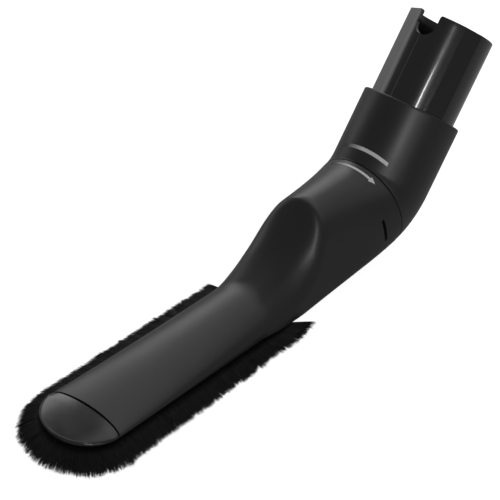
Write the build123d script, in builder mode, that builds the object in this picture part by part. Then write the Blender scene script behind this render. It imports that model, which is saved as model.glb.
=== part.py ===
# Vacuum dusting brush with a swivelling elbow. All sizes are in millimetres.
#
# The brush lies as it rests: bristle tips and the underside of the elbow on Z = 0, the nose
# at -Y, the connector rising at +Y, and X = 0 as the plane of symmetry. The origin is the
# middle of the floor that it covers.

import os
from math import cos, pi, radians, sin, tan

from build123d import *

os.makedirs("parts", exist_ok=True)

# Head: a low arch in section, which widens a little and flattens towards the nose.
head_length = 83.0
seam_half_width = 15.7
foot_half_width = 14.5
seam_rise = 2.5
foot_rise = 11.6
wall = 1.6

# Rim: the lower edge of the head. It slopes down towards the elbow.
rim_height = 6.7
rim_slope = 2.55

# Nose cap: a separate blunt end, parted from the head by a seam that leans back.
nose_length = 14.7
seam_lean = 40.0
seam_gap = 0.4
nose_lip = 0.9
nose_edge = 0.8
nose_crown = 2.1
nose_slope = 5.0
nose_taper = 25.0

# Ramp: the arch goes on up a slope into the top of the neck.
ramp_angle = 40.0
ramp_depth = 13.8
ramp_length = 62.0

# Neck: a tall arch at the ramp that becomes a circle at the swivel.
neck_length = 66.8
neck_crown = 39.2
neck_front_half_width = 15.6
neck_middle_half_width = 16.7
neck_lead = 4.0
neck_front_z = 3.6
neck_middle = 35.0
neck_middle_z = 8.0
neck_belly = 7.2
egg_steps = 12
egg_top = 2.15
egg_bottom = 3.0

# Swivel: a round joint between neck and elbow, which leans back from upright.
swivel_radius = 20.2
swivel_tilt = 11.9
running_gap = 0.3
fit_gap = 0.05
spigot_radius = 15.0
spigot_wall = 1.8
rib_height = 1.2
rib_length = 1.5
ring_recess = 0.9
ring_length = 4.8
ring_split = 9.0
seal_wall = 2.0

# Elbow collar and connector.
elbow_radius = 20.15
elbow_bend = 41.2
bend_margin = 0.3
collar_straight = 28.1
collar_bore = 16.2
collar_floor = 2.0
shoulder_round = 0.8
rim_round = 0.4
connector_radius = 17.5
connector_length = 35.5
connector_wall = 2.0
connector_root = 9.0
root_radius = 17.0
key_angle = 46.0
key_depth = 0.8
notch_width = 8.0
notch_depth = 9.4
notch_turn = -4.0

# Bristles and the frame that clamps them under the rim.
bristle_flare = 6.9
bristle_flare_back = 8.0
bristle_run = 89.0
left_fan = 0.0
right_fan = 55.0
fan_tufts = 8
tuft_pitch = 3.0
tuft_depth = 2.0
tuft_tip_depth = 3.0
tuft_root_gap = 0.1
frame_plate = 0.9
frame_inset = 0.5
frame_width = 5.0
frame_lip = 0.9
frame_length = 91.0
bristle_seat = 2.4
mouth_bar = 9.0
tuft_lap = 1.25

# Catch windows in the flanks of the neck, with the catches of the ring behind them.
window_back = 9.0
window_angle = 84.0
window_span = 30.0
window_width = 1.3
arm_span = 26.0
catch_width = 0.8
catch_radius = 18.7

# Centre line of the elbow: it turns about a point just above the top of the swivel.
bend_radius = elbow_radius + bend_margin
tilt = radians(swivel_tilt)
rise = radians(swivel_tilt + elbow_bend)
corner = bend_radius * tan(radians(elbow_bend) / 2)
reach_front = nose_length + bristle_flare
reach_back = (
    head_length + neck_length + (corner + running_gap) * cos(tilt)
    + (corner + collar_straight + connector_length) * cos(rise) + connector_radius * sin(rise)
)

rib_back = ring_recess + ring_length + running_gap
arm_radius = spigot_radius + rib_height + running_gap

# Stations along the brush, and the planes that its parts are drawn on.
seam_y = (reach_front - reach_back) / 2
foot_y = seam_y + head_length
swivel_y = foot_y + neck_length
swivel_z = swivel_radius * cos(tilt)
slope = radians(ramp_angle)


def rim_z(y):
    """Height of the rim above the floor at a station."""
    return rim_height - (y - seam_y) * tan(radians(rim_slope))


def half_width(y):
    """Half width of the head at a station."""
    return seam_half_width + (foot_half_width - seam_half_width) * (y - seam_y) / head_length


def crown_rise(y):
    """Height of the head's crown above its rim at a station."""
    return seam_rise + (foot_rise - seam_rise) * (y - seam_y) / head_length


def cross_plane(y, z):
    """Upright plane across the brush, with X to the right and Z up."""
    return Plane(origin=(0, y, z), x_dir=(1, 0, 0), z_dir=(0, -1, 0))


def leaning_plane(y, z, lean):
    """Plane across the brush whose normal leans up from the floor by an angle in radians."""
    return Plane(origin=(0, y, z), x_dir=(1, 0, 0), z_dir=(0, -sin(lean), cos(lean)))


ramp_y = foot_y + ramp_depth * sin(slope)
ramp_z = rim_z(foot_y) + foot_rise - ramp_depth * cos(slope)
ramp_plane = Plane(
    origin=(0, ramp_y, ramp_z), x_dir=(-1, 0, 0), z_dir=(0, cos(slope), sin(slope))
)
ramp_floor = leaning_plane(ramp_y, ramp_z, slope)
rim_plane = leaning_plane(seam_y, rim_height, -radians(rim_slope))
seam_plane = leaning_plane(seam_y, rim_height, radians(90 - seam_lean))
swivel_plane = Plane(
    origin=(0, swivel_y, swivel_z), x_dir=(1, 0, 0), z_dir=(0, -cos(tilt), -sin(tilt))
)


def arch(plane, across, up, legs=0.0):
    """Half ellipse that stands on its long axis, with straight legs below it if asked for."""
    with BuildSketch(plane) as face:
        with BuildLine():
            EllipticalCenterArc((0, 0), across, up, 0, arc_size=180)
            Line((-across, 0), (across, 0))
        make_face()
        if legs:
            with Locations((0, -legs / 2)):
                Rectangle(2 * across, legs)
    return face.sketch


def half_egg(plane, across, up, down, upper_power, lower_power):
    """Right half of a superellipse whose upper and lower parts differ in height and power."""
    edge = []
    for step in range(egg_steps + 1):
        turn = pi * step / egg_steps - pi / 2
        height, power = (up, upper_power) if turn >= 0 else (-down, lower_power)
        edge.append(
            (across * abs(cos(turn)) ** (2 / power), height * abs(sin(turn)) ** (2 / power))
        )
    with BuildSketch(plane) as face:
        with BuildLine():
            Spline(*edge, tangents=[(1, 0), (-1, 0)])
            Line((0, up), (0, -down))
        make_face()
    return face.sketch


def neck_form(inset):
    """Neck from the foot of the ramp to the swivel, drawn in by the inset all round."""
    with BuildPart() as form:
        loft(
            [
                half_egg(
                    cross_plane(foot_y - neck_lead, neck_front_z), neck_front_half_width - inset,
                    neck_crown - neck_front_z - inset, neck_belly - inset, egg_top, egg_bottom
                ),
                half_egg(
                    cross_plane(swivel_y - neck_middle, neck_middle_z),
                    neck_middle_half_width - inset, neck_crown - neck_middle_z - inset,
                    neck_belly - inset, egg_top, egg_bottom
                ),
                half_egg(
                    swivel_plane, swivel_radius - inset, swivel_radius - inset,
                    swivel_radius - inset, 2, 2
                ),
            ]
        )
        mirror(about=Plane.YZ)
        split(bisect_by=rim_plane.offset(inset), keep=Keep.TOP)
    return form.part


def body_form(inset, legs=0.0):
    """Head, ramp and neck as one solid, drawn in by the inset all round."""
    neck = neck_form(inset)
    with BuildPart() as ramp:
        extrude(
            arch(ramp_plane, foot_half_width - inset, ramp_depth - inset, legs), ramp_length,
            both=True
        )
        add(neck, mode=Mode.INTERSECT)
    with BuildPart() as shank:
        add(neck)
        split(bisect_by=ramp_floor.offset(-inset), keep=Keep.BOTTOM)
    with BuildPart() as form:
        loft(
            [
                arch(cross_plane(y, rim_z(y)), half_width(y) - inset, crown_rise(y) - inset, legs)
                for y in (seam_y, ramp_y)
            ]
        )
        add(ramp.part)
        add(shank.part)
    return form.part


def ring_sector(plane, inner, outer, middle, span, height):
    """Sector of a ring about a plane's own axis, from the plane along its normal."""
    reach = 2 * outer
    side = radians(span / 2)
    with BuildPart() as sector:
        with BuildSketch(plane):
            Circle(outer)
            Circle(inner, mode=Mode.SUBTRACT)
            with BuildLine(plane):
                turn = radians(90 - middle)
                Polyline(
                    (0, 0),
                    (reach * cos(turn - side), reach * sin(turn - side)),
                    (reach * cos(turn + side), reach * sin(turn + side)),
                    close=True,
                )
            make_face(mode=Mode.INTERSECT)
        extrude(amount=height)
    return sector.part


# Brush body: head, ramp and neck are one hollow moulding, open below the head and at the
# swivel, with a catch window in each flank.
with BuildPart() as brush_body:
    add(body_form(0))
    add(body_form(wall, legs=rim_height), mode=Mode.SUBTRACT)
    split(bisect_by=seam_plane, keep=Keep.BOTTOM)
    for side in (-1, 1):
        add(
            ring_sector(swivel_plane.offset(window_back - window_width / 2), arm_radius,
                        swivel_radius + wall, side * window_angle, window_span, window_width),
            mode=Mode.SUBTRACT,
        )
brush_body.part.label = "brush_body"
export_step(brush_body.part, "parts/brush_body.step")


def rim_outline(inset, back):
    """Outline of the rim seen from above: straight sides round a half elliptical nose."""
    with BuildSketch(rim_plane) as outline:
        with BuildLine():
            EllipticalCenterArc(
                (0, 0), seam_half_width - inset, nose_length - inset, 180, arc_size=180
            )
            Polyline(
                (seam_half_width - inset, 0),
                (half_width(seam_y + back) - inset, back),
                (inset - half_width(seam_y + back), back),
                (inset - seam_half_width, 0),
            )
        make_face()
    return outline.sketch


# Nose cap: a low lip round the front, and inside it a face that slopes down from the seam.
with BuildPart() as nose_cap:
    extrude(
        arch(cross_plane(seam_y + seam_rise, rim_height), seam_half_width, seam_rise),
        nose_length + seam_rise,
    )
    extrude(
        rim_outline(nose_lip, seam_rise), seam_rise, taper=nose_taper, mode=Mode.INTERSECT
    )
    split(
        bisect_by=leaning_plane(seam_y, rim_height + nose_crown, -radians(nose_slope)),
        keep=Keep.BOTTOM,
    )
    extrude(rim_outline(0, seam_rise), nose_edge)
    split(bisect_by=seam_plane.offset(seam_gap), keep=Keep.TOP)
nose_cap.part.label = "nose_cap"
export_step(nose_cap.part, "parts/nose_cap.step")

# Bristle frame: a plate under the rim with a lip that backs the bristles, round the mouth.
with BuildPart() as bristle_frame:
    extrude(rim_outline(frame_inset, frame_length), -frame_plate)
    extrude(
        rim_outline(frame_inset + bristle_seat, frame_length - bristle_seat),
        -frame_plate - frame_lip,
    )
    extrude(
        rim_outline(frame_inset + frame_width, frame_length - mouth_bar),
        -frame_plate - frame_lip, mode=Mode.SUBTRACT,
    )
bristle_frame.part.label = "bristle_frame"
export_step(bristle_frame.part, "parts/bristle_frame.step")


def tuft(x, y, heading, flare, spread):
    """One tuft: it leaves the frame at a point and leans out on a heading to the floor."""
    out = Vector(cos(heading), sin(heading), 0)
    top = Vector(x, y, rim_z(y) - frame_plate - tuft_root_gap)
    foot = Vector(x, y, 0) + out * (tuft_inset + flare - tuft_tip_depth / 2)
    with BuildPart() as body:
        with BuildSketch(Plane(origin=top, x_dir=out)):
            Ellipse(tuft_depth / 2, tuft_pitch * tuft_lap / 2)
        with BuildSketch(Plane(origin=foot, x_dir=out)):
            Ellipse(tuft_tip_depth / 2, tuft_pitch * tuft_lap * spread / 2)
        loft()
    return body.part


# Bristles: tufts side by side down both sides of the head and round its nose. At the back
# end of the right side they fan out towards the elbow.
tuft_inset = frame_inset + tuft_depth / 2
side_tufts = round(bristle_run / tuft_pitch)
nose_tufts = round(pi * (nose_length - tuft_inset) / tuft_pitch)
tufts = []
for side, fan in ((-1, left_fan), (1, right_fan)):
    for row in range(side_tufts):
        along = (row + 0.5) / side_tufts
        y = seam_y + along * bristle_run
        flare = bristle_flare + (bristle_flare_back - bristle_flare) * along
        turned = radians(fan) * max(0, 1 - (side_tufts - row - 0.5) / fan_tufts) ** 2
        heading = turned if side > 0 else pi - turned
        tufts.append(tuft(side * (half_width(y) - tuft_inset), y, heading, flare, 1))
for row in range(nose_tufts):
    heading = -pi * (row + 0.5) / nose_tufts
    tufts.append(
        tuft((seam_half_width - tuft_inset) * cos(heading),
             seam_y + (nose_length - tuft_inset) * sin(heading), heading,
             bristle_flare, 1 + bristle_flare / nose_length)
    )
with BuildPart() as bristles:
    add(tufts)
bristles.part.label = "bristles"
export_step(bristles.part, "parts/bristles.step")

# Elbow collar: a bent tube with a floor at the swivel, from which a ribbed spigot runs into
# the neck, and a counterbore at the top for the connector.
collar_face = swivel_plane.offset(-running_gap)
bend_centre = collar_face.from_local_coords((0, bend_radius, 0))
bend_axis = Axis(bend_centre, (1, 0, 0))
shoulder = (
    bend_centre + Vector(0, sin(rise), -cos(rise)) * bend_radius
    + Vector(0, cos(rise), sin(rise)) * collar_straight
)
stub_plane = Plane(origin=shoulder, x_dir=(1, 0, 0), z_dir=(0, -cos(rise), -sin(rise)))
with BuildPart() as elbow_collar:
    with BuildSketch(collar_face):
        Circle(elbow_radius)
    revolve(axis=bend_axis, revolution_arc=elbow_bend)
    with BuildSketch(stub_plane):
        Circle(elbow_radius)
    extrude(amount=collar_straight)
    fillet(elbow_collar.edges().filter_by(GeomType.CIRCLE).sort_by(Axis.Z)[-1], shoulder_round)
    with BuildSketch(collar_face):
        Circle(collar_bore)
    revolve(axis=bend_axis, revolution_arc=elbow_bend, mode=Mode.SUBTRACT)
    with BuildSketch(stub_plane):
        Circle(collar_bore)
    extrude(amount=collar_straight, mode=Mode.SUBTRACT)
    with BuildSketch(stub_plane):
        Circle(root_radius + fit_gap)
    extrude(amount=connector_root, mode=Mode.SUBTRACT)
    with BuildSketch(collar_face):
        Circle(collar_bore + fit_gap)
        Circle(spigot_radius - spigot_wall, mode=Mode.SUBTRACT)
    extrude(amount=-collar_floor)
    with BuildSketch(collar_face):
        Circle(spigot_radius)
        Circle(spigot_radius - spigot_wall, mode=Mode.SUBTRACT)
    extrude(amount=rib_back + rib_length + running_gap)
    with BuildSketch(swivel_plane.offset(rib_back)):
        Circle(spigot_radius + rib_height)
        Circle(spigot_radius - spigot_wall, mode=Mode.SUBTRACT)
    extrude(amount=rib_length)
elbow_collar.part.label = "elbow_collar"
export_step(elbow_collar.part, "parts/elbow_collar.step")

# Connector: a gloss tube with a keyed outside and a round ended notch in its rim. Its lower
# end stands on the collar's shoulder, and a narrower root is pressed into the collar.
with BuildPart() as connector:
    with BuildSketch(stub_plane.offset(-connector_length)):
        Circle(connector_radius)
    extrude(amount=connector_length)
    fillet(connector.edges().sort_by(Axis.Z)[-1], rim_round)
    for side in (-1, 1):
        turn = radians(90 - side * key_angle)
        key = Plane(
            origin=stub_plane.from_local_coords(
                (connector_radius * cos(turn), connector_radius * sin(turn), 0)
            ),
            x_dir=stub_plane.z_dir,
            z_dir=stub_plane.x_dir * cos(turn) + stub_plane.y_dir * sin(turn),
        )
        with BuildSketch(key):
            Rectangle(2 * connector_length, connector_radius)
        extrude(amount=-key_depth, mode=Mode.SUBTRACT)
    with BuildSketch(stub_plane):
        Circle(root_radius)
    extrude(amount=connector_root)
    with BuildSketch(stub_plane.offset(-connector_length)):
        Circle(connector_radius - connector_wall)
    extrude(amount=connector_length + connector_root, mode=Mode.SUBTRACT)
    notch_side = radians(90 - notch_turn)
    notch_plane = Plane(
        origin=stub_plane.from_local_coords((0, 0, -connector_length)),
        x_dir=stub_plane.z_dir,
        z_dir=stub_plane.x_dir * cos(notch_side) + stub_plane.y_dir * sin(notch_side),
    )
    with BuildSketch(notch_plane):
        with Locations((notch_depth - notch_width / 2, 0)):
            Circle(notch_width / 2)
        Rectangle(2 * notch_depth - notch_width, notch_width)
    extrude(amount=2 * connector_radius, mode=Mode.SUBTRACT)
connector.part.label = "connector"
export_step(connector.part, "parts/connector.step")

# Swivel ring: a split bearing ring in the end of the neck. It turns on the spigot, in front
# of its rib, and two arms snap their catches into the windows of the neck.
with BuildPart() as swivel_ring:
    with BuildSketch(swivel_plane.offset(ring_recess)):
        Circle(swivel_radius)
        Circle(spigot_radius + fit_gap, mode=Mode.SUBTRACT)
    extrude(amount=ring_length)
    for side in (-1, 1):
        add(
            ring_sector(swivel_plane.offset(ring_recess), arm_radius, swivel_radius,
                        side * window_angle, arm_span, window_back + window_width - ring_recess)
        )
    add(neck_form(wall + fit_gap), mode=Mode.INTERSECT)
    add(
        ring_sector(swivel_plane.offset(ring_recess), spigot_radius, swivel_radius, 0,
                    ring_split, ring_length),
        mode=Mode.SUBTRACT,
    )
    for side in (-1, 1):
        add(
            ring_sector(swivel_plane.offset(window_back - catch_width / 2), arm_radius,
                        catch_radius, side * window_angle, arm_span, catch_width)
        )
swivel_ring.part.label = "swivel_ring"
export_step(swivel_ring.part, "parts/swivel_ring.step")

# Swivel seal: a flat washer between the collar's floor and the ring.
with BuildPart() as swivel_seal:
    with BuildSketch(collar_face):
        Circle(spigot_radius + fit_gap + seal_wall)
        Circle(spigot_radius + fit_gap, mode=Mode.SUBTRACT)
    extrude(amount=ring_recess)
swivel_seal.part.label = "swivel_seal"
export_step(swivel_seal.part, "parts/swivel_seal.step")
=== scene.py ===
# Vacuum dusting brush with a swivelling elbow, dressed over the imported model.
# Sizes in this file are in millimetres; put_together() turns them to metres.
from math import radians

import bmesh
import bpy
import numpy as np
from mathutils import Matrix


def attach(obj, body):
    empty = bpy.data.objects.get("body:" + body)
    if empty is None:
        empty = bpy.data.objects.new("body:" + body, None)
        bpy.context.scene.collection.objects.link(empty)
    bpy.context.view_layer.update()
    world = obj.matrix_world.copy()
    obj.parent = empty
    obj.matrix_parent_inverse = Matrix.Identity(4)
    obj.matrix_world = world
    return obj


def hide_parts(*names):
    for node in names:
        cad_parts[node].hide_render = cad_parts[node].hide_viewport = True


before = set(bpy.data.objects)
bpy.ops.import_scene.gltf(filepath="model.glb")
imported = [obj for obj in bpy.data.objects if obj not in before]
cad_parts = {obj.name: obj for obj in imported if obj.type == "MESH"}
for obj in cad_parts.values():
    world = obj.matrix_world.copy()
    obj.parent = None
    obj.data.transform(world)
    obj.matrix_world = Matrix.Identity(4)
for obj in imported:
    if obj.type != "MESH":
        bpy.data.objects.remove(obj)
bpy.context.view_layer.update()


# Brush body: head, ramp and neck in one hollow moulding of black ABS, 1.6 mm thick, with a
# satin face from a finely blasted tool. The head is open below for the air, the neck is a tube
# that grows round towards the swivel, and each of its flanks has a slot for a catch.
seam_y, foot_y, head_end = -96.406, -13.406, -3.535
swivel_y, swivel_z = 53.394, 19.766
seam_lean, swivel_lean = radians(40), radians(11.9)
seam_half, seam_rise = 15.7, 2.5
body_wall = 1.6


def rim_height(y):
    """Height of the head's rim: 6.7 mm at the nose seam, less 2.55 degrees of slope."""
    return 6.7 - (y - seam_y) * np.tan(radians(2.55))


def arch_gap(x, lift, across, up):
    """Distance out from an ellipse, along the line from its centre: reach times (1 - 1 / g),
    where g is the reach as a share of the ellipse's own reach that way."""
    share = np.hypot(x / across, lift / up)
    return np.hypot(x, lift) * (1 - 1 / np.maximum(share, 1e-6))


def through(t, first, middle, last):
    """Quadratic in t through three values, at 0, 0.506 and 1."""
    m = 0.506
    return (first * (t - m) * (t - 1) / m + middle * t * (t - 1) / (m * (m - 1))
            + last * t * (t - m) / (1 - m))


def soft_min(a, b, blend):
    """Lesser of two distances, less a quarter of the blend times the square of how far they
    overlap, so that two forms meet in a fillet."""
    overlap = np.maximum(1 - np.abs(a - b) / blend, 0)
    return np.minimum(a, b) - blend * overlap ** 2 / 4


def body_gap(x, y, z):
    """Distance out from the brush body: the head's arch, joined to the part of the neck below
    the ramp. The ramp's middle rises by 0.38 t + 0.000561 t cubed over t mm behind its foot,
    and its sides fall off by a power of x, 3.7 up to halfway and 2.8 at the top. The neck's
    section is an egg, abs(x / half width) to a power plus abs(up / height) to the same."""
    along = (y - seam_y) / (foot_y - seam_y)
    head = arch_gap(x, z - rim_height(y), seam_half - 1.2 * along, seam_rise + 9.1 * along)
    head = np.maximum(head, y - head_end)
    behind = y - foot_y
    middle = 14.7 + 0.38 * behind + 0.000561 * np.clip(behind, 0, 29) ** 3
    middle = middle + 0.5 * np.maximum(behind - 29, 0)
    foot = np.clip((14 - behind) / 12, 0, 1)
    top = np.clip((behind - 22) / 7.5, 0, 1) ** 1.5
    drop = (11.5 + 2.5 * foot + 3 * top) * (np.abs(x) / 16.7) ** (3.7 - 0.9 * top)
    ramp = (z - middle + drop) * 0.7
    start = foot_y - 4
    swivel_face = swivel_y - (z - swivel_z) * np.tan(swivel_lean)
    t = np.clip((y - start) / (swivel_face - start), 0, 1.1)
    up = z - through(t, 3.6, 8, swivel_z)
    height = np.where(up > 0, through(t, 35.6, 31.2, swivel_z), through(t, 7.2, 7.2, swivel_z))
    power = np.where(up > 0, through(t, 2.15, 2.15, 2), through(t, 3, 3, 2))
    share = np.abs(x / through(t, 15.6, 16.7, 20.2)) ** power + np.abs(up / height) ** power
    neck = np.hypot(x, up) * (1 - np.maximum(share, 1e-9) ** (-1 / power))
    return soft_min(head, -soft_min(-neck, -ramp, 2.2), 0.8)


def outward(gap, points):
    """Unit normals of a form, from central differences of its distance over 0.02 mm."""
    slope = np.stack(
        [gap(*np.moveaxis(points + step, -1, 0)) - gap(*np.moveaxis(points - step, -1, 0))
         for step in np.eye(3) * 0.01], -1)
    return slope / np.linalg.norm(slope, axis=-1, keepdims=True)


def cast(gap, centres, rays, reach):
    """Points where rays from inside a form leave it, by halving the reach 36 times."""
    near, far = np.zeros(rays.shape[:-1]), np.full(rays.shape[:-1], float(reach))
    for _ in range(36):
        middle = (near + far) / 2
        inside = gap(*np.moveaxis(centres + rays * middle[..., None], -1, 0)) < 0
        near, far = np.where(inside, middle, near), np.where(inside, far, middle)
    return centres + rays * far[..., None]


def quads(number):
    """Corners of the faces between neighbours in a grid of point numbers."""
    return np.stack([number[:-1, :-1], number[:-1, 1:], number[1:, 1:], number[1:, :-1]],
                    -1).reshape(-1, 4)


def grid_faces(rows, columns, across=0, round_=0, first=0):
    """Faces of a grid of points kept row by row from a first number. With across at 1 its last
    row joins its first, and with round_ at 1 its last column joins its first."""
    number = first + np.arange(rows * columns).reshape(rows, columns)
    return quads(np.pad(number, ((0, across), (0, round_)), "wrap"))


def put_together(name, points, faces, material, body, sharp=32):
    """Piece from points in mm and faces, with coinciding points merged, faces turned outwards,
    and smooth shading except at edges sharper than an angle in degrees."""
    mesh = bpy.data.meshes.new(name)
    mesh.from_pydata(np.reshape(points, (-1, 3)) * 0.001, [], [list(face) for face in faces])
    work = bmesh.new()
    work.from_mesh(mesh)
    bmesh.ops.remove_doubles(work, verts=work.verts, dist=2e-7)
    bmesh.ops.dissolve_degenerate(work, edges=work.edges, dist=1e-8)
    bmesh.ops.recalc_face_normals(work, faces=work.faces)
    work.to_mesh(mesh)
    work.free()
    mesh.shade_smooth()
    mesh.set_sharp_from_angle(angle=radians(sharp))
    piece = bpy.data.objects.new(name, mesh)
    bpy.context.scene.collection.objects.link(piece)
    mesh.materials.append(material)
    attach(piece, body)
    return piece


def linear(code):
    """Linear colour of an sRGB hex value: x / 12.92 up to 0.04045, above it
    ((x + 0.055) / 1.055) to the power 2.4."""
    parts = np.array([int(code[at:at + 2], 16) for at in (1, 3, 5)]) / 255
    parts = np.where(parts <= 0.04045, parts / 12.92, ((parts + 0.055) / 1.055) ** 2.4)
    return (*parts, 1.0)


def add_node(tree, kind, inputs, **settings):
    """Add one node with its settings, and give each named input a value or a link."""
    made = tree.nodes.new(kind)
    for name, value in settings.items():
        setattr(made, name, value)
    for name, value in inputs.items():
        if isinstance(value, bpy.types.NodeSocket):
            tree.links.new(value, made.inputs[name])
        else:
            made.inputs[name].default_value = value
    return made


def start_material(name):
    """New material, with its node tree, its Principled shader and its Object coordinates."""
    material = bpy.data.materials.new(name)
    material.use_nodes = True
    tree = material.node_tree
    place = add_node(tree, "ShaderNodeTexCoord", {}).outputs["Object"]
    return material, tree, tree.nodes["Principled BSDF"], place


# Satin ABS: the blasted tool leaves a grain of about 0.5 mm, drawn at 0.7 mm to show at this
# size, which softens reflections to a sheen. Handling leaves faint smoother patches 22 mm wide.
satin_abs, tree, shader, place = start_material("satin_black_ABS")
grain = add_node(tree, "ShaderNodeTexNoise", {"Vector": place, "Scale": 1400, "Detail": 2})
patches = add_node(tree, "ShaderNodeTexNoise", {"Vector": place, "Scale": 45, "Detail": 3})
tone = add_node(tree, "ShaderNodeValToRGB", {"Fac": patches.outputs["Fac"]})
tone.color_ramp.elements[0].color = linear("#161616")
tone.color_ramp.elements[1].color = linear("#1e1e1e")
dull = add_node(tree, "ShaderNodeMapRange", {
    "Value": patches.outputs["Fac"], "From Min": 0.3, "From Max": 0.7,
    "To Min": 0.37, "To Max": 0.44})
relief = add_node(tree, "ShaderNodeBump", {
    "Strength": 0.1, "Distance": 0.0001, "Height": grain.outputs["Fac"]})
tree.links.new(tone.outputs["Color"], shader.inputs["Base Color"])
tree.links.new(dull.outputs["Result"], shader.inputs["Roughness"])
tree.links.new(relief.outputs["Normal"], shader.inputs["Normal"])
shader.inputs["IOR"].default_value = 1.54

# Stations stand across the body: they lean back 40 degrees at the nose seam and forward
# with the swivel, and the rays start from the rim line, then rise to the swivel's centre.
stations = seam_y + np.concatenate([
    np.linspace(0, 12, 20, endpoint=False), np.linspace(12, 70, 46, endpoint=False),
    np.linspace(70, 149.35, 124), [149.5, 149.62, 149.71, 149.77, 149.8]])
to_swivel = np.clip((stations - foot_y) / (swivel_y - foot_y), 0, 1)
lean = seam_lean * np.clip(1 - (stations - seam_y) / 12, 0, 1) ** 2 - swivel_lean * to_swivel
lift = to_swivel ** 2 * (3 - 2 * to_swivel) * (swivel_z - rim_height(swivel_y))
centres = np.stack([0 * stations, stations, rim_height(stations) + lift], -1)[:, None]
upward = np.stack([0 * lean, np.sin(lean), np.cos(lean)], -1)[:, None]
sideways = np.array([1.0, 0, 0])


def body_with_floor(x, y, z):
    """Distance out from the brush body, cut level with the rim below."""
    return np.maximum(body_gap(x, y, z), rim_height(y) - z)


rim_half = cast(body_gap, centres[:, 0] - lift[:, None] * upward[:, 0],
                np.broadcast_to(sideways, (len(stations), 3)), 30)[:, 0]
corner = np.arctan2(-lift, np.maximum(rim_half, 4))[:, None]
arch_columns, floor_columns = 97, 24
turn = corner + (np.pi - 2 * corner) * np.linspace(0, 1, arch_columns)
under = corner + np.pi - 2 * corner + (np.pi + 2 * corner) * np.linspace(
    0, 1, floor_columns + 1)[1:-1]
rays = np.cos(turn)[..., None] * sideways + np.sin(turn)[..., None] * upward
arch_points = cast(body_gap, centres, rays, 60)
arch_inner = arch_points - outward(body_gap, arch_points) * body_wall
rays = np.cos(under)[..., None] * sideways + np.sin(under)[..., None] * upward
necked = np.flatnonzero(stations > foot_y - 4)
floor_points = cast(body_with_floor, centres, rays, 60)[necked]
floor_inner = floor_points - outward(body_with_floor, floor_points) * body_wall
for row, off in ((-1, 0.45), (-2, 0.29), (-3, 0.18), (-4, 0.09), (-5, 0.03)):
    arch_points[row] -= outward(body_gap, arch_points[row]) * off
    floor_points[row] -= outward(body_with_floor, floor_points[row]) * off
count = len(stations) * arch_columns
floor_count = floor_points[..., 0].size
outer = np.arange(count).reshape(-1, arch_columns)
outer_floor = 2 * count + np.arange(floor_count).reshape(len(necked), -1)
faces, mouths, ends = [], [], []
for skin, flip in ((0, 1), (1, -1)):
    top = outer + skin * count
    floor = outer_floor + skin * floor_count
    below = np.concatenate([top[necked][:, -1:], floor, top[necked][:, :1]], 1)
    faces += [quads(top)[:, ::flip], quads(below)[:, ::flip]]
    mouths.append(np.concatenate([
        top[0], top[1:necked[0] + 1, -1], floor[0], top[necked[0]::-1, 0]]))
    ends.append(np.concatenate([top[-1], floor[-1], top[-1, :1]]))
brush_body = put_together(
    "brush_moulding", np.concatenate([
        arch_points.reshape(-1, 3), arch_inner.reshape(-1, 3),
        floor_points.reshape(-1, 3), floor_inner.reshape(-1, 3)]),
    np.concatenate(faces + [quads(np.stack(mouths)), quads(np.stack(ends))]),
    satin_abs, "brush")


def cut_away(piece, points, faces, sharp):
    """Take a closed cutter of points in mm out of a piece, and mark its sharp edges again."""
    mesh = bpy.data.meshes.new("cutter")
    mesh.from_pydata(np.reshape(points, (-1, 3)) * 0.001, [], [list(face) for face in faces])
    work = bmesh.new()
    work.from_mesh(mesh)
    bmesh.ops.recalc_face_normals(work, faces=work.faces)
    work.to_mesh(mesh)
    work.free()
    cutter = bpy.data.objects.new("cutter", mesh)
    bpy.context.scene.collection.objects.link(cutter)
    cut = piece.modifiers.new("cut", "BOOLEAN")
    cut.object, cut.operation, cut.solver = cutter, "DIFFERENCE", "EXACT"
    bpy.context.view_layer.update()
    done = bpy.data.meshes.new_from_object(
        piece.evaluated_get(bpy.context.evaluated_depsgraph_get()))
    piece.modifiers.clear()
    piece.data = done
    done.shade_smooth()
    done.set_sharp_from_angle(angle=radians(sharp))
    bpy.data.objects.remove(cutter)


# Each slot for a catch is 10.6 mm long round the swivel's axis and 1.4 mm wide, 8.7 mm before
# the swivel, with its edges broken by 0.3 mm.
swivel_point = np.array([0, swivel_y, swivel_z])
swivel_ahead = np.array([0, np.cos(swivel_lean), np.sin(swivel_lean)])
swivel_above = np.array([0, -np.sin(swivel_lean), np.cos(swivel_lean)])
slot_points, slot_back, slot_turn, slot_half_run = 32, 8.7, radians(84), 4.7
around_slot = np.linspace(0, 2 * np.pi, slot_points, endpoint=False)
for side in (1, -1):
    slot = []
    for radius, half in ((17.4, 0.7), (19.75, 0.7), (20.3, 1.0), (22, 1.0)):
        back = slot_back - half * np.sin(around_slot)
        turn = side * (slot_turn + (np.sign(np.cos(around_slot)) * slot_half_run
                                    + half * np.cos(around_slot)) / 20.2)
        slot.append(swivel_point - back[:, None] * swivel_ahead + radius * (
            np.sin(turn)[:, None] * sideways + np.cos(turn)[:, None] * swivel_above))
    cut_away(brush_body, slot, grid_faces(4, slot_points, round_=1).tolist() + [
        list(range(slot_points)), list(range(3 * slot_points, 4 * slot_points))], 32)
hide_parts("brush_body")


# Nose cap: a separate blunt end of black ABS with a bead round its edge. A tongue under the
# head's skin holds it in front of the head's mouth, and the seam between them is 0.5 mm wide.
cap_along, cap_gap, cap_edge = 14.0, 0.7, 0.5
inset = np.concatenate([[0.0, 0.03, 0.08, 0.16, 0.25, 0.35, 0.45, 0.55, 0.66],
                        np.linspace(0.8, 2.4, 17), np.linspace(2.6, 15.2, 34)])
bearing = np.linspace(np.pi, 2 * np.pi, 121)


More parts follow.
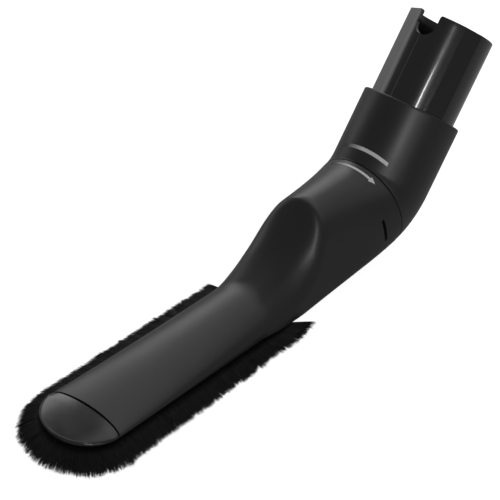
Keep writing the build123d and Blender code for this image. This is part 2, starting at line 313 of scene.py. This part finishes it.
def cap_height(x, forward, inset):
    """Height of the cap above the rim: an arch over its width at that place, whose crown falls
    from the seam's 2.5 mm by 1.7 mm towards the nose, on an edge of 0.5 mm. A bead 0.16 mm high
    runs from 44 degrees off the right end of the seam to the left end, and the edge is
    rounded by 0.25 mm."""
    ahead = np.clip(forward / cap_along, 0, 1)
    wide = seam_half * np.sqrt(np.maximum(1 - ahead ** 2, 1e-6))
    edge = cap_edge * np.clip(ahead * 5, 0, 1)
    crown = seam_rise - 1.7 * ahead
    face = edge + (crown - edge) * np.sqrt(np.maximum(1 - (x / wide) ** 2, 0))
    around = np.degrees(np.arctan2(ahead, x / seam_half))
    bead = 0.16 * np.clip((0.62 - inset) / 0.16, 0, 1) * np.clip((around - 44) / 3, 0, 1)
    bead = bead * np.clip((176 - around) / 8, 0, 1)
    curl = 0.25 * (1 - np.sqrt(1 - np.clip(1 - inset / 0.25, 0, 1) ** 2))
    return np.maximum(face, edge) + bead - curl * np.clip(ahead * 5, 0, 1)


# Smooth ABS: its tool was polished more than the head's, so the cap mirrors the light more
# sharply. Handling leaves marks about 6 mm long, which blur it here and there.
smooth_abs, tree, shader, place = start_material("smooth_black_ABS")
handled = add_node(tree, "ShaderNodeTexNoise", {"Vector": place, "Scale": 160, "Detail": 3})
dull = add_node(tree, "ShaderNodeMapRange", {
    "Value": handled.outputs["Fac"], "From Min": 0.3, "From Max": 0.7,
    "To Min": 0.2, "To Max": 0.27})
relief = add_node(tree, "ShaderNodeBump", {
    "Strength": 0.08, "Distance": 0.0002, "Height": handled.outputs["Fac"]})
tree.links.new(dull.outputs["Result"], shader.inputs["Roughness"])
tree.links.new(relief.outputs["Normal"], shader.inputs["Normal"])
shader.inputs["Base Color"].default_value = linear("#171717")
shader.inputs["IOR"].default_value = 1.54

share = 1 - inset / inset[-1]
x = seam_half * share[:, None] * np.cos(bearing)
forward = -cap_along * share[:, None] * np.sin(bearing)
height = cap_height(x, forward, inset[:, None])
top_y = seam_y - cap_gap - forward + height * np.tan(seam_lean) * (1 - forward / cap_along)
top = np.stack([x, top_y, rim_height(top_y) + height], -1)
under_share = np.append(share[:3:-4], 1.0)[:, None]
under_y = seam_y - cap_gap + cap_along * under_share * np.sin(bearing)
under = np.stack(
    [seam_half * under_share * np.cos(bearing), under_y, rim_height(under_y)], -1)
cap_points = np.concatenate([under, top])
rows, columns = cap_points.shape[:2]
number = np.arange(rows * columns).reshape(rows, columns)
back = quads(number[:, [-1, 0]])

# The tongue is 0.4 mm thick and reaches 2.6 mm under the head's skin, whose arch it follows
# 1.75 mm lower, so that no light comes through the seam.
tongue_x = np.linspace(-10.7, 10.7, 41)
tongue_height = seam_rise * np.sqrt(1 - (tongue_x / seam_half) ** 2) - 1.75
tongue = []
for reach_back, low in ((-1.5, 0.4), (-1.5, 0), (2.6, 0), (2.6, 0.4)):
    tongue_y = seam_y + reach_back + tongue_height * np.tan(seam_lean)
    tongue.append(np.stack(
        [tongue_x, tongue_y, rim_height(tongue_y) + tongue_height - low], -1))
tongue = np.stack(tongue, 1)
first, last = rows * columns, rows * columns + tongue[..., 0].size - 4
tongue_faces = np.concatenate([
    grid_faces(len(tongue), 4, round_=1, first=first), [first + np.arange(4), last + np.arange(4)]])
nose_cap = put_together(
    "nose_moulding", np.concatenate([cap_points.reshape(-1, 3), tongue.reshape(-1, 3)]),
    np.concatenate([grid_faces(rows, columns), back, tongue_faces]),
    smooth_abs, "brush", 40)
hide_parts("nose_cap")


# Bristle frame: a thin black plate under the rim, moulded in ABS, with a lip that backs the
# bristles all round the mouth. The swivel's ring is moulded of the same ABS. Neither is
# polished, and the flow of the ABS leaves dull clouds about 3 mm wide.
plain_abs, tree, shader, place = start_material("plain_black_ABS")
mottle = add_node(tree, "ShaderNodeTexNoise", {"Vector": place, "Scale": 300, "Detail": 3})
dull = add_node(tree, "ShaderNodeMapRange", {
    "Value": mottle.outputs["Fac"], "To Min": 0.4, "To Max": 0.5})
tree.links.new(dull.outputs["Result"], shader.inputs["Roughness"])
shader.inputs["Base Color"].default_value = linear("#141414")
for name in ("bristle_frame", "swivel_ring"):
    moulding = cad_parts[name]
    moulding.data.materials.clear()
    moulding.data.materials.append(plain_abs)


# Swivel seal: a washer of soft black rubber in the mouth of the neck, cut from sheet. It is
# dull, and a bloom of fine powder greys it in spots 1.7 mm wide.
soft_rubber, tree, shader, place = start_material("soft_black_rubber")
bloom = add_node(tree, "ShaderNodeTexNoise", {"Vector": place, "Scale": 600, "Detail": 2})
tone = add_node(tree, "ShaderNodeValToRGB", {"Fac": bloom.outputs["Fac"]})
tone.color_ramp.elements[0].color = linear("#161616")
tone.color_ramp.elements[1].color = linear("#202020")
tree.links.new(tone.outputs["Color"], shader.inputs["Base Color"])
shader.inputs["Roughness"].default_value = 0.75
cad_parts["swivel_seal"].data.materials.clear()
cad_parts["swivel_seal"].data.materials.append(soft_rubber)


# Bristles: thousands of tapered black nylon filaments, set in tufts in the frame. They lean
# out to the floor on both sides and round the nose, their tips split into small clumps, and
# the last ones on the right fan out towards the elbow.

# Black nylon: drawn filaments with a dull, soft gloss. Their tone changes every 1.1 mm, so that
# strands show. They are made 0.18 mm thick at the root, which is as thin as the render shows.
black_nylon, tree, shader, place = start_material("black_nylon_filament")
strand = add_node(tree, "ShaderNodeTexNoise", {"Vector": place, "Scale": 900, "Detail": 1})
tone = add_node(tree, "ShaderNodeValToRGB", {"Fac": strand.outputs["Fac"]})
tone.color_ramp.elements[0].color = linear("#050505")
tone.color_ramp.elements[1].color = linear("#0d0d0d")
tree.links.new(tone.outputs["Color"], shader.inputs["Base Color"])
shader.inputs["Roughness"].default_value = 0.6
shader.inputs["Specular IOR Level"].default_value = 0.35
chance = np.random.default_rng(7)
filament_radius, filament_rings = 0.09, 4
clump_pitch, tuft_pitch, run_length, root_inset = 0.75, 2.6, 89, 1.5


def filaments(root, way, reach, drop):
    """Filaments as three-sided tubes: each follows a parabola from its root, out along its way
    by its reach and down by its drop, and its radius falls by two thirds towards the tip."""
    t = np.linspace(0, 1, filament_rings)[:, None]
    line = root[:, None] + way[:, None] * reach[:, None, None] * t * (1.12 - 0.12 * t)
    line[..., 2] -= drop[:, None] * (0.9 * t[:, 0] + 0.1 * t[:, 0] ** 2)
    across = np.cross(way, (0, 0, 1))
    down = np.cross(way, across)
    spin = chance.uniform(0, 2 * np.pi, len(root))[:, None] + np.arange(3) * 2 * np.pi / 3
    spoke = np.cos(spin)[..., None] * across[:, None] + np.sin(spin)[..., None] * down[:, None]
    thick = filament_radius * (1 - 0.65 * t ** 2)
    points = line[:, :, None] + spoke[:, None] * thick[..., None]
    first = np.arange(len(root))[:, None] * filament_rings * 3
    sides = (first[..., None] + grid_faces(filament_rings, 3, round_=1)).reshape(-1, 4)
    ends = [first + [2, 1, 0], first + filament_rings * 3 - [3, 2, 1]]
    return points, sides, ends


def bristle_row(name, count, length, place_on_row, flare):
    """One run of bristles. Every filament gets a place along the run and across its depth of
    1.8 mm, and a tip that is drawn by 0.4 of the way towards its clump, of which one stands
    every 0.75 mm. Its reach is the flare plus shares of its depth, of its clump's and its
    tuft's own chance and of its own, and it ends a few hundredths short."""
    along = chance.uniform(0, 1, count)
    depth = chance.uniform(-1, 1, count)
    clump = np.round(along * length / clump_pitch + 0.35 * chance.normal(size=count))
    drawn = (clump * clump_pitch / length - along) * 0.4
    drawn = drawn + chance.normal(size=count) * 0.25 / length
    bunch = chance.uniform(-1, 1, 4000)[clump.astype(int)]
    tuft = chance.uniform(-1, 1, 400)[(along * length / tuft_pitch).astype(int)]
    root, way = place_on_row(along, depth * 0.9)
    tip, tip_way = place_on_row(np.clip(along + drawn, 0, 1), depth * 0.9)
    reach = flare(along) + 0.6 * depth + 0.3 * bunch + 0.35 * tuft
    reach = reach + 0.3 * chance.normal(size=count)
    drop = root[:, 2] - chance.uniform(0, 0.25, count)
    short = 1 - np.abs(chance.normal(size=count)) * 0.04 - 0.03 * np.abs(bunch)
    target = tip + tip_way * reach[:, None]
    lead = target - root
    lead[:, 2] = 0
    reach = np.linalg.norm(lead, axis=1)
    points, sides, ends = filaments(root, lead / reach[:, None], reach * short, drop * short)
    mesh = bpy.data.meshes.new(name)
    mesh.from_pydata(points.reshape(-1, 3) * 0.001, [],
                     sides.tolist() + ends[0].tolist() + ends[1].tolist())
    mesh.shade_smooth()
    mesh.materials.append(black_nylon)
    piece = bpy.data.objects.new(name, mesh)
    bpy.context.scene.collection.objects.link(piece)
    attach(piece, "brush")
    return piece


def side_row(side, fan):
    """Places along one side: half the head's width less 1.5 mm, and the heading turned back by
    the fan times the square of the place in the last 24 mm."""
    def place_on_row(along, depth):
        y = seam_y + along * run_length
        turned = radians(fan) * np.clip(1 - (1 - along) * run_length / 24, 0, 1) ** 2
        way = np.stack([side * np.cos(turned), np.sin(turned), 0 * y], -1)
        half = seam_half - 1.2 * (y - seam_y) / (foot_y - seam_y) - root_inset
        root = np.stack([side * half, y, rim_height(y) - 1.0], -1) + way * depth[:, None]
        return root, way
    return place_on_row


def nose_row(along, depth):
    """Places round the nose: an ellipse 1.5 mm inside the rim's, with headings square to it."""
    turn = -np.pi * along
    way = np.stack([np.cos(turn), np.sin(turn), 0 * turn], -1)
    y = seam_y + 13.2 * np.sin(turn)
    root = np.stack([(seam_half - root_inset) * np.cos(turn), y, rim_height(y) - 1.0], -1)
    return root + way * depth[:, None], way


bristle_rows = [
    bristle_row("bristles_right", 9000, run_length, side_row(1, 57),
                lambda along: 7.4 + 1.0 * along + 3.2 * np.clip(along * 5 - 4, 0, 1) ** 2),
    bristle_row("bristles_left", 9000, run_length, side_row(-1, 0),
                lambda along: 9.2 + 1.2 * along),
    bristle_row("bristles_nose", 5200, 44, nose_row, lambda along: 8.0 + 1.2 * along ** 4),
]
for piece in bristle_rows:
    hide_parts("bristles")


# Elbow collar: a bent tube of the same satin ABS. It turns 41 degrees about a point just
# above the swivel, runs straight to a rounded shoulder, and its spigot snaps into the neck.
collar_radius, collar_bore, spigot_bore = 20.15, 16.2, 13.2
running_gap, bend_radius, bend = 0.3, 20.45, radians(41.2)
bend_centre = swivel_point + running_gap * swivel_ahead + bend_radius * swivel_above
bend_length = bend_radius * bend
end = bend_length + 28.1


def elbow_frame(run):
    """Centre, forward and upward directions of the elbow at a run from its lower face: an arc
    about the bend's centre, then straight on, and straight back before the face."""
    angle = swivel_lean + np.clip(run / bend_radius, 0, bend)
    forward = np.stack([0 * angle, np.cos(angle), np.sin(angle)], -1)
    upward = np.stack([0 * angle, -np.sin(angle), np.cos(angle)], -1)
    extra = np.minimum(run, 0) + np.maximum(run - bend_length, 0)
    return bend_centre - upward * bend_radius + forward * extra[..., None], forward, upward


def tube_points(run, radius, turn):
    """Points of a tube round the elbow's centre line, at a turn from its top towards +X."""
    centre, _, upward = elbow_frame(run)
    around = np.sin(turn)[:, None] * sideways + np.cos(turn)[:, None] * upward[:, None]
    return centre[:, None] + around * np.broadcast_to(radius, run.shape)[:, None, None]


# The collar's outline, as runs and radii: its face rounded by 0.45 mm, its outside, a shoulder
# rounded by 0.8 mm, the counterbore for the connector, the bore, the floor and the spigot.
quarter = np.linspace(0, np.pi / 2, 8)
small_quarter = np.linspace(0, np.pi / 2, 7)
outline = np.array(
    [(0.0, 15.1)]
    + [(0.45 * (1 - np.cos(a)), collar_radius - 0.45 * (1 - np.sin(a))) for a in small_quarter]
    + [(run, collar_radius) for run in np.linspace(0.6, bend_length, 30)]
    + [(run, collar_radius) for run in np.linspace(bend_length + 0.8, end - 0.9, 26)]
    + [(end - 0.8 + 0.8 * np.sin(a), collar_radius - 0.8 * (1 - np.cos(a))) for a in quarter]
    + [(end, 17.05), (end - 9, 17.05), (end - 9, collar_bore)]
    + [(run, collar_bore) for run in np.linspace(end - 9.5, bend_length, 16)]
    + [(run, collar_bore) for run in np.linspace(bend_length - 0.5, 2.0, 24)]
    + [(2.0, spigot_bore), (-8.3, spigot_bore), (-8.3, 16.2), (-6.8, 16.2), (-6.8, 15.0),
       (0.0, 15.0)])
turn = np.linspace(0, 2 * np.pi, 144, endpoint=False)
elbow_collar = put_together(
    "elbow_moulding", tube_points(outline[:, 0], outline[:, 1], turn),
    grid_faces(len(outline), len(turn), across=1, round_=1),
    satin_abs, "elbow", 28)
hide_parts("elbow_collar")


# Connector: a 35 mm tube of black ABS, pressed into the collar. Two flats key it to the hose,
# and a round ended notch in its rim takes the hose's latch.

# Polished ABS: its bright skin mirrors lamps as long streaks, with a haze round them that the
# rougher base under a clear coat gives. The wall's ripples are about 17 mm long.
gloss_abs, tree, shader, place = start_material("polished_black_ABS")
ripple = add_node(tree, "ShaderNodeTexNoise", {"Vector": place, "Scale": 60, "Detail": 2})
relief = add_node(tree, "ShaderNodeBump", {
    "Strength": 0.05, "Distance": 0.0003, "Height": ripple.outputs["Fac"]})
dull = add_node(tree, "ShaderNodeMapRange", {
    "Value": ripple.outputs["Fac"], "To Min": 0.2, "To Max": 0.25})
tree.links.new(dull.outputs["Result"], shader.inputs["Roughness"])
tree.links.new(relief.outputs["Normal"], shader.inputs["Normal"])
shader.inputs["Base Color"].default_value = linear("#0d0d0e")
shader.inputs["IOR"].default_value = 1.5
shader.inputs["Coat Weight"].default_value = 0.6
shader.inputs["Coat Roughness"].default_value = 0.06
tube_radius, tube_length, tube_wall = 17.5, 35.5, 2.0
root_radius, root_length, lip = 16.9, 8.9, 0.4
key_flats = ((radians(-46), 1.2), (radians(58), 0.45))
parting_turn = radians(-5.5)


def tube_reach(turn):
    """Radius of the connector at a turn: its circle, cut by a flat on each side of the top,
    with a moulding line 0.05 mm high."""
    reach = tube_radius + 0.05 * np.exp(-((turn - parting_turn) / 0.008) ** 2)
    for middle, depth in key_flats:
        off = np.maximum(np.cos(turn - middle), 0.5)
        reach = np.minimum(reach, np.where(off > 0.8, (tube_radius - depth) / off, 99))
    return reach


turn = np.sort(np.concatenate([
    np.linspace(-np.pi, np.pi, 360, endpoint=False), parting_turn + np.linspace(-0.015, 0.015, 7)]))
reach = tube_reach(turn)
bore_radius = tube_radius - tube_wall
skin = [(-root_length, root_radius, 0), (0.02, root_radius, 0)]
skin += [(run, 0, 1) for run in np.linspace(0.02, tube_length - lip, 30)]
skin += [(tube_length - lip + lip * np.sin(a), -lip * (1 - np.cos(a)), 1)
         for a in np.linspace(0, np.pi / 2, 6)[1:]]
skin += [(tube_length - 0.3 + 0.3 * np.cos(a), bore_radius + 0.3 * (1 - np.sin(a)), 0)
         for a in np.linspace(0, np.pi / 2, 5)]
skin += [(run, bore_radius, 0) for run in np.linspace(tube_length - 2, -root_length, 20)]
skin = np.array(skin)
shoulder, tube_ahead, tube_above = [part[0] for part in elbow_frame(np.array([end]))]
around = np.sin(turn)[:, None] * sideways + np.cos(turn)[:, None] * tube_above
radius = skin[:, 1:2] + skin[:, 2:] * reach
connector = put_together(
    "connector_tube", shoulder + tube_ahead * skin[:, :1, None] + around * radius[..., None],
    grid_faces(len(skin), len(turn), across=1, round_=1),
    gloss_abs, "elbow", 9)


# The notch is U-shaped, 9 mm wide and 9.4 mm deep, with its mouth's corners rounded by 1 mm.
notch_turn, notch_half, notch_depth = radians(-5.3), 4.5, 9.4
bottom = np.linspace(0, -np.pi, 25)
corner = np.linspace(0, np.pi / 2, 6)
notch = np.concatenate([
    np.stack([notch_half * np.cos(bottom),
              notch_half * np.sin(bottom) - notch_depth + notch_half], 1),
    np.stack([-notch_half - 1 + np.cos(corner), np.sin(corner) - 1], 1),
    [(-notch_half - 1, 3), (notch_half + 1, 3)],
    np.stack([notch_half + 1 - np.cos(corner[::-1]), np.sin(corner[::-1]) - 1], 1)])
out = np.sin(notch_turn) * sideways + np.cos(notch_turn) * tube_above
beside = np.cross(out, tube_ahead)
rim = shoulder + tube_ahead * tube_length
slab = (rim + notch[:, :1] * beside + notch[:, 1:] * tube_ahead)[None] + np.array(
    [12.0, 21.0])[:, None, None] * out
count = len(notch)
cut_away(connector, slab, grid_faces(2, count, round_=1).tolist() + [
    list(range(count)), list(range(count, 2 * count))], 12)
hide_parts("connector")


# Marks: an arrow round the top of the neck and a line round the top of the collar show how
# the swivel turns. They are printed in light grey ink by a pad.

# Grey ink: it dries matt, thins out to the black ABS at the left end, and covers it unevenly,
# in specks 0.4 mm wide.
grey_ink, tree, shader, place = start_material("light_grey_ink")
fade = add_node(tree, "ShaderNodeAttribute", {}, attribute_name="ink")
speckle = add_node(tree, "ShaderNodeTexNoise", {"Vector": place, "Scale": 2500, "Detail": 2})
cover = add_node(tree, "ShaderNodeMapRange", {
    "Value": speckle.outputs["Fac"], "To Min": 0.75, "To Max": 1.15})
cover = add_node(tree, "ShaderNodeMath", {0: fade.outputs["Fac"], 1: cover.outputs["Result"]},
                 operation="MULTIPLY", use_clamp=True)
ink_tone = add_node(tree, "ShaderNodeMix", {"Factor": cover.outputs[0]}, data_type="RGBA")
ink_tone.inputs[6].default_value = linear("#202020")
ink_tone.inputs[7].default_value = linear("#d8d8d8")
tree.links.new(ink_tone.outputs[2], shader.inputs["Base Color"])
shader.inputs["Roughness"].default_value = 0.5


mark_radius = 20


def print_mark(name, outside, body, start, stop, half, head=0):
    """Mark on a skin: a band of half its width each side of a line round it, from one turn to
    another, with an arrow head that many mm long at the end. The ink's cover falls from full
    at x = -1.2 mm to none at x = -9.2 mm."""
    turn = np.linspace(start, stop, 60)
    if head:
        barb = stop - (head + np.array([0.01, 0])) / mark_radius
        turn = np.sort(np.append(turn, barb))
    left = (stop - turn) * mark_radius
    wide = np.where(left <= head, 1.5 * left / head + 0.02, half) if head else half + 0 * turn
    across = np.linspace(-1, 1, 5)
    shell = [outside(turn[:, None], wide[:, None] * across, off) for off in (0.05, -0.1)]
    points = np.concatenate([shell[0], shell[1][:, ::-1]], 1)
    rows, columns = points.shape[:2]
    ends = [np.arange(columns)[::-1], np.arange(columns) + (rows - 1) * columns]
    piece = put_together(
        name, points, grid_faces(rows, columns, round_=1).tolist() + [
            end.tolist() for end in ends], grey_ink, body, 60)
    where = np.empty(len(piece.data.vertices) * 3)
    piece.data.vertices.foreach_get("co", where)
    level = piece.data.attributes.new("ink", "FLOAT", "POINT")
    level.data.foreach_set("value", np.clip(1.15 + where[::3] * 1000 / 8, 0, 1))


def on_neck(turn, across, off):
    """Point on the neck 3.4 mm before the swivel, at a turn from the top."""
    turn = np.broadcast_to(turn, across.shape)
    ray = np.sin(turn)[..., None] * sideways + np.cos(turn)[..., None] * swivel_above
    along = swivel_point - 3.4 * swivel_ahead + swivel_ahead * across[..., None]
    return cast(body_gap, along, ray, 40) + ray * off


def on_collar(turn, across, off):
    """Point on the collar at a turn from the top, 3.8 mm past the bend plus 10.6 mm times how
    far the turn's cosine is over 0.848, so that the line bows away from the swivel."""
    turn = np.broadcast_to(turn, across.shape)
    run = bend_length + 3.82 + across + 10.6 * (np.cos(turn) - 0.848)
    middle, _, up = elbow_frame(run)
    return middle + (np.sin(turn)[..., None] * sideways + np.cos(turn)[..., None] * up) * (
        collar_radius + off)


print_mark("arrow_mark", on_neck, "brush", radians(-29), radians(30.5), 0.6, 2.8)
print_mark("line_mark", on_collar, "elbow", radians(-36), radians(30), 0.7)


# Studio: a pale floor and six soft lamps. The two behind give head and ramp their sheen, the
# broad ones at the sides fill, and the two narrow ones near the camera draw the streaks along
# connector and collar.

# White paper: matt. It looks white to the camera, dim in mirrors, and keeps the shadow.
floor_mesh = bpy.data.meshes.new("pale_floor")
floor_mesh.from_pydata([(-4, -4, 0), (4, -4, 0), (4, 4, 0), (-4, 4, 0)], [], [(0, 1, 2, 3)])
pale_floor = bpy.data.objects.new("pale_floor", floor_mesh)
bpy.context.scene.collection.objects.link(pale_floor)
paper, tree, shader, place = start_material("white_paper")
rays_seen = add_node(tree, "ShaderNodeLightPath", {})
mirrored = add_node(tree, "ShaderNodeMath", {
    0: rays_seen.outputs["Is Glossy Ray"], 1: rays_seen.outputs["Is Transmission Ray"]},
    operation="ADD")
glow = add_node(tree, "ShaderNodeMath", {0: mirrored.outputs[0], 1: 0.04}, operation="MULTIPLY")
glow = add_node(tree, "ShaderNodeMath", {
    0: rays_seen.outputs["Is Camera Ray"], 1: 0.9, 2: glow.outputs[0]},
    operation="MULTIPLY_ADD")
shader.inputs["Base Color"].default_value = (0.45, 0.45, 0.45, 1)
shader.inputs["Roughness"].default_value = 0.9
shader.inputs["Specular IOR Level"].default_value = 0.0
shader.inputs["Emission Color"].default_value = (1, 1, 1, 1)
tree.links.new(glow.outputs[0], shader.inputs["Emission Strength"])
floor_mesh.materials.append(paper)

world = bpy.data.worlds.new("studio")
bpy.context.scene.world = world
world.use_nodes = True
tree = world.node_tree
backdrop = tree.nodes["Background"]
rays_seen = add_node(tree, "ShaderNodeLightPath", {})
level = add_node(tree, "ShaderNodeMapRange", {
    "Value": rays_seen.outputs["Is Camera Ray"], "To Min": 0.2, "To Max": 1.0})
backdrop.inputs["Color"].default_value = (1, 1, 1, 1)
tree.links.new(level.outputs["Result"], backdrop.inputs["Strength"])


def panel(name, place, aim, width, height, power):
    """Soft panel lamp, turned to face a point. Its place and aim are in metres, and its power
    is in watts."""
    lamp = bpy.data.lights.new(name, "AREA")
    lamp.shape, lamp.size, lamp.size_y, lamp.energy = "RECTANGLE", width, height, power
    held = bpy.data.objects.new(name, lamp)
    bpy.context.scene.collection.objects.link(held)
    held.location = place
    toward = np.array(aim) - np.array(place)
    toward = toward / np.linalg.norm(toward)
    right = np.cross(toward, (0, 0, 1))
    right = right / np.linalg.norm(right)
    over = np.cross(right, toward)
    held.rotation_euler = Matrix(np.stack([right, over, -toward], 1).tolist()).to_euler()


def toward_light(azimuth, elevation, distance):
    """Place at a distance from the brush, in metres, at angles in degrees."""
    turned, raised = radians(azimuth), radians(elevation)
    return (distance * np.cos(raised) * np.cos(turned),
            distance * np.cos(raised) * np.sin(turned), distance * np.sin(raised) + 0.03)


panel("rear_panel", toward_light(138, 29, 1.3), (0, 0, 0.03), 1.0, 0.55, 4.0)
panel("rear_fill", toward_light(98, 60, 1.5), (0, 0, 0.03), 1.1, 0.8, 2.4)
panel("left_panel", toward_light(183, 12, 1.1), (0, 0, 0.03), 0.5, 0.35, 0.6)
panel("right_fill", toward_light(45, 45, 1.4), (0, 0, 0.03), 0.8, 0.9, 1.2)
panel("camera_panel", toward_light(315, 25, 1.2), (0, 0.03, 0.04), 0.06, 0.5, 3.0)
panel("right_strip", toward_light(336, 13, 1.2), (0, 0.03, 0.04), 0.03, 0.4, 0.5)

camera = bpy.data.objects.new("camera", bpy.data.cameras.new("camera"))
bpy.context.scene.collection.objects.link(camera)
camera.data.lens, camera.data.sensor_width = 107.43, 36
# The camera stands where the photograph was taken from: turned 38.2 degrees from the brush's
# length, pitched 35.7 degrees down and rolled 3.6 degrees.
turned, pitched, rolled = radians(38.18), radians(35.742), radians(3.645)
right = np.array([np.cos(turned), np.sin(turned), 0])
ahead = np.array([-np.sin(turned) * np.cos(pitched), np.cos(turned) * np.cos(pitched),
                  -np.sin(pitched)])
over = np.cross(right, ahead)
rolled_right = right * np.cos(rolled) + over * np.sin(rolled)
rolled_over = over * np.cos(rolled) - right * np.sin(rolled)
camera.matrix_world = Matrix.Translation((0.26747, -0.35411, 0.34300)) @ Matrix(
    np.stack([rolled_right, rolled_over, -ahead], 1).tolist()).to_4x4()
camera.data.clip_start = 0.01
bpy.context.scene.camera = camera
bpy.context.scene.view_settings.view_transform = "Standard"
bpy.context.view_layer.update()
